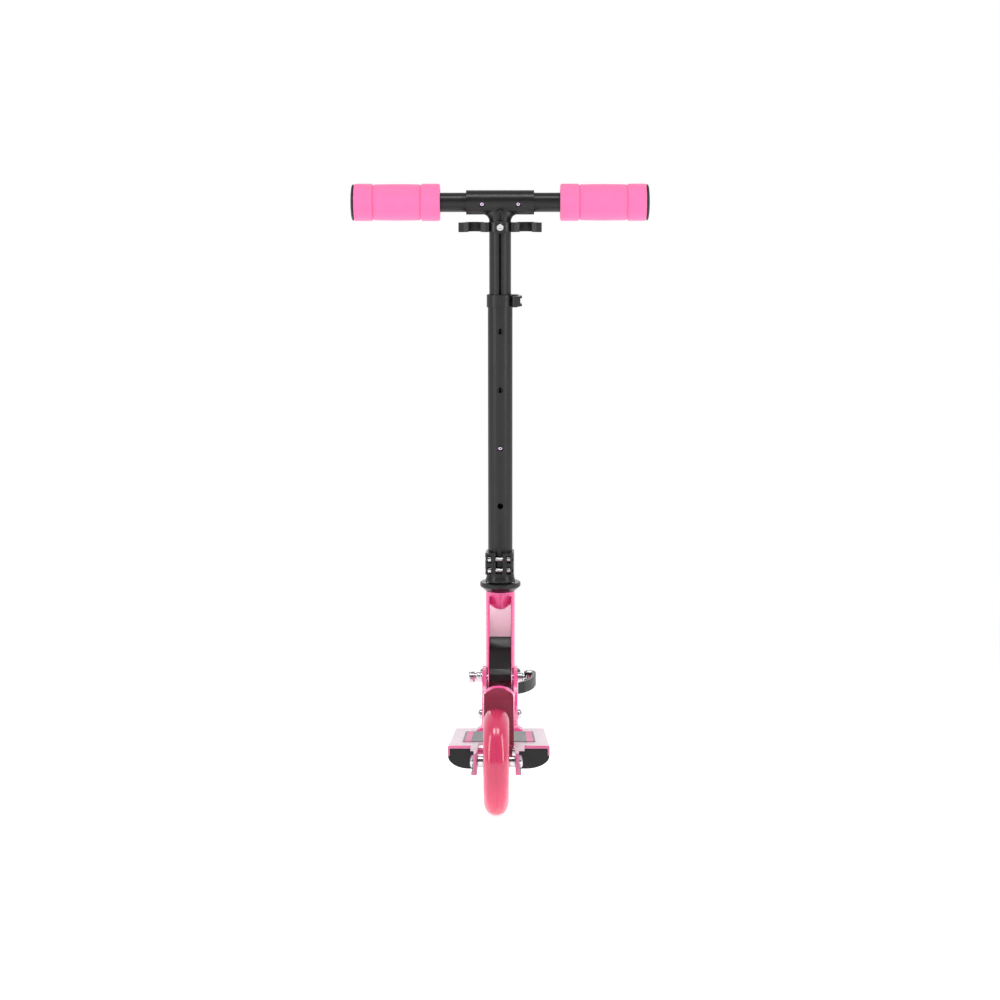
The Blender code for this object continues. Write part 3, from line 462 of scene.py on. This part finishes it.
def grip(side, sign):
    """The foam grip: two plain rings and a crowned barrel, with creases between."""
    low, high = GRIP_ENDS
    ring, ring_length, rounding = 21.25, 21.8, 2.2
    barrel_radius, crown, bore = 20.5, 0.35, 11.4
    start, end = low + 24.2, high - 24.2
    inner = rounded_step(ring, low, low + ring_length, rounding)
    outer = rounded_step(ring, high - ring_length, high, rounding)
    barrel = [(19.1, start - 2.0), (19.9, start - 1.5), (barrel_radius, start)]
    for i in range(1, 8):
        share = i / 8
        radius = barrel_radius + crown * math.sin(math.pi * share)
        barrel.append((radius, start + (end - start) * share))
    barrel += [(barrel_radius, end), (19.9, end + 1.5), (19.1, end + 2.0)]
    profile = [(bore, low)] + inner + barrel + outer + [(bore, high)]
    outwards = TEE @ Matrix.Rotation(sign * math.pi / 2, 4, "Y")
    piece = show(side + "_grip_foam", turned(profile, outwards), side + "_grip", "foam")
    show(side + "_cap_skin", turned(cap_profile(), outwards), side + "_bar_cap", "plastic")


def cap_profile():
    """A bar's end cap: a plug inside the bar and a domed disc against the grip."""
    plug = [(0, PLUG_START), (PLUG_RADIUS, PLUG_START), (PLUG_RADIUS, 168.2)]
    disc = [(20.4, 168.2), (20.8, 168.5), (20.7, 169.2), (20.0, 170.0), (17.5, 170.7)]
    return plug + disc + [(13, 171.2), (6, 171.4), (0, 171.4)]


def bead(name, node, finish, points, radius, closed=False):
    """A weld: a lumpy bead along a line of points."""
    count, sides = len(points), 10
    bm = bmesh.new()
    rings = []
    for i, point in enumerate(points):
        before = points[(i - 1) % count] if closed or i else point
        after = points[(i + 1) % count] if closed or i < count - 1 else point
        along = (after - before).normalized()
        side = along.orthogonal().normalized()
        if rings:
            side = (last - along * last.dot(along)).normalized()
        last = side
        up = along.cross(side)
        lump = radius * (1 + 0.22 * math.sin(2.1 * i) + 0.08 * math.sin(5.3 * i))
        ring = []
        for j in range(sides):
            angle = 2 * math.pi * j / sides
            offset = side * math.cos(angle) + up * math.sin(angle)
            ring.append(bm.verts.new(point + offset * lump))
        rings.append(ring)
    pairs = list(zip(rings, rings[1:] + rings[:1]))
    for ring, following in pairs if closed else pairs[:-1]:
        for j in range(sides):
            k = (j + 1) % sides
            bm.faces.new((ring[j], ring[k], following[k], following[j]))
    if not closed:
        bm.faces.new(rings[0])
        bm.faces.new(rings[-1])
    bmesh.ops.recalc_face_normals(bm, faces=bm.faces)
    mesh = bpy.data.meshes.new(name)
    bm.to_mesh(mesh)
    bm.free()
    piece = bpy.data.objects.new(name, smoothed(mesh, 60))
    mesh.materials.append(FINISH[finish])
    bpy.context.scene.collection.objects.link(piece)
    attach(piece, BODY_OF[node])


def welds():
    """The flared column to the T, and the neck's web to the head tube."""
    flare, steps = 3.9, 120  # how much wider the column is at the T
    points = []
    for i in range(steps):
        angle = 2 * math.pi * i / steps
        x = (COLUMN_RADIUS + flare * abs(math.sin(angle)) ** 5) * math.sin(angle)
        y = -COLUMN_RADIUS * math.cos(angle)
        height = TEE_HEIGHT / MM - math.sqrt(TEE_RADIUS**2 - y * y)
        points.append(COLUMN @ (Vector((x, y, height)) * MM))
    bead("tee_weld", "upper_column", "black", points, 0.9 * MM, True)
    half, steps = 12.3, 48
    points = []
    for i in range(steps + 1):
        x = half * (2 * i / steps - 1)
        y = -math.sqrt(HEAD_RADIUS**2 - x * x)
        points.append(COLUMN @ (Vector((x, y, WEB_HEIGHT + WEB_RISE * y)) * MM))
    bead("neck_weld", "neck_channel", "pink", points, 0.8 * MM)


def painted_shade_dimple(name, node, matrix, depth):
    """A dark disc at a snap button's tip, as painted shade for the hollow of a punched
    centre; depth is its tip's, along the matrix's Z.
    """
    profile = [(0, depth - 0.15), (0.95, depth - 0.15), (0.95, depth), (0, depth + 0.05)]
    piece = bpy.data.objects.new(name, turned(profile, matrix, 24))
    piece.data.materials.append(FINISH["dark"])
    bpy.context.scene.collection.objects.link(piece)
    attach(piece, BODY_OF[node])


SKINS = {
    "deck": ("deck_extrusion",),
    "tape": ("grip_tape",),
    "plastic": (
        "rear_end_cap_left", "rear_end_cap_right", "channel_block", "fold_lever",
        "collar_lever", "handlebar_clip",
    ),
    "pink": ("fold_bracket", "rear_fender", "neck_channel", "head_tube"),
    "chrome": (
        "bracket_bolt_rear", "bracket_bolt_front", "pivot_bolt", "pivot_nut",
        "rear_axle", "rear_axle_nut", "rear_spacer_left", "rear_spacer_right",
        "fender_pin", "fender_spring", "qr_axle", "qr_nut", "qr_follower", "qr_cam_pin",
        "clamp_bolt_upper", "clamp_bolt_lower", "collar_bolt", "front_axle",
        "front_axle_nut", "clip_bolt",
    ),
    "steel": ("headset_bearing_upper", "headset_bearing_lower"),
    "button": ("height_button", "left_button", "right_button"),
    "black": (
        "fork", "column_clamp", "lower_column", "height_collar", "upper_column",
        "left_bar", "right_bar",
    ),
    "black_gloss": ("headset_nut", "headset_cup_upper", "headset_cup_lower"),
}
EDGES = {"grip_tape": 0.2, "fender_spring": 0, "rear_fender": 0.5, "fold_lever": 0.8}


def build_object():
    for finish, nodes in SKINS.items():
        for node in nodes:
            skin(node, finish, EDGES.get(node, 0.35))
    for prefix in ("rear", "front"):
        wheel(prefix)
    button_axis = Matrix.Rotation(BAR_BUTTON_TILT, 4, "X") @ TO_REAR
    for side, sign in (("left", -1), ("right", 1)):
        grip(side, sign)
        place = TEE @ Matrix.Translation((sign * BAR_BUTTON, 0, 0)) @ button_axis
        painted_shade_dimple(side + "_button_centre", side + "_button", place, 13.1)
    place = COLUMN @ Matrix.Translation((0, 0, BUTTON_HEIGHT)) @ TO_REAR
    painted_shade_dimple("height_button_centre", "height_button", place, 13.3)
    welds()


# Stage


def floor():
    """A wide white floor that glows a little, so that its far edge meets the backdrop."""
    bpy.ops.mesh.primitive_plane_add(size=400, location=(0, 0, -0.0002))
    plane = bpy.context.object
    plane.name = "floor"
    m = Nodes("floor_paint", (0.85, 0.85, 0.85), 0.9)
    m.set("Specular IOR Level", 0.0)
    m.set("Emission Color", (1, 1, 1, 1))
    m.set("Emission Strength", 0.66)
    m.colour(m.ramp(m.noise(3, 3), (0.84, 0.84, 0.84), (0.87, 0.87, 0.87)))
    plane.data.materials.append(m.material)


def world():
    """A white studio, seen at full strength, whose walls light the object more softly."""
    bpy.context.scene.world = bpy.data.worlds.new("studio")
    studio = bpy.context.scene.world
    studio.use_nodes = True
    tree = studio.node_tree
    background = tree.nodes["Background"]
    direction = tree.nodes.new("ShaderNodeTexCoord").outputs["Generated"]
    parts = tree.nodes.new("ShaderNodeSeparateXYZ")
    tree.links.new(direction, parts.inputs["Vector"])
    wall = tree.nodes.new("ShaderNodeMapRange")  # dim behind the camera, light beyond
    wall.interpolation_type = "SMOOTHSTEP"
    wall.inputs["From Min"].default_value = -0.6
    wall.inputs["From Max"].default_value = 0.8
    wall.inputs["To Min"].default_value = 0.12
    wall.inputs["To Max"].default_value = 0.75
    tree.links.new(parts.outputs["Y"], wall.inputs["Value"])
    path = tree.nodes.new("ShaderNodeLightPath")
    strength = tree.nodes.new("ShaderNodeMix")
    tree.links.new(path.outputs["Is Camera Ray"], strength.inputs["Factor"])
    tree.links.new(wall.outputs["Result"], strength.inputs["A"])
    strength.inputs["B"].default_value = 1.0
    background.inputs["Color"].default_value = (1, 1, 1, 1)
    tree.links.new(strength.outputs["Result"], background.inputs["Strength"])


def softbox(name, place, target, size, power):
    light = bpy.data.lights.new(name, "AREA")
    light.shape = "RECTANGLE"
    light.size, light.size_y = size
    light.energy = power
    lamp = bpy.data.objects.new(name, light)
    bpy.context.scene.collection.objects.link(lamp)
    lamp.location = place
    aim = Vector(target) - Vector(place)
    lamp.rotation_euler = aim.to_track_quat("-Z", "Y").to_euler()


def lights():
    softbox("over", (0, -1.0, 2.3), (0, 0.05, 0.4), (1.5, 0.5), 22)
    softbox("left", (-1.9, -1.1, 1.1), (0, 0, 0.4), (0.6, 2.0), 24)
    softbox("right", (1.9, -1.1, 1.1), (0, 0, 0.4), (0.6, 2.0), 24)
    softbox("back", (0, 2.2, 1.6), (0, 0, 0.4), (1.8, 1.0), 8)


def camera():
    data = bpy.data.cameras.new("camera")
    data.lens = 79.04
    data.sensor_width = 36
    data.clip_start = 0.05
    eye = bpy.data.objects.new("camera", data)
    bpy.context.scene.collection.objects.link(eye)
    eye.location = (0.008, -2.3512, 0.1886)
    eye.rotation_euler = (math.radians(90 + 2.964), 0, math.radians(0.186))
    bpy.context.scene.camera = eye


def main():
    build_object()
    floor()
    world()
    lights()
    camera()
    view = bpy.context.scene.view_settings
    view.view_transform = "Standard"


main()
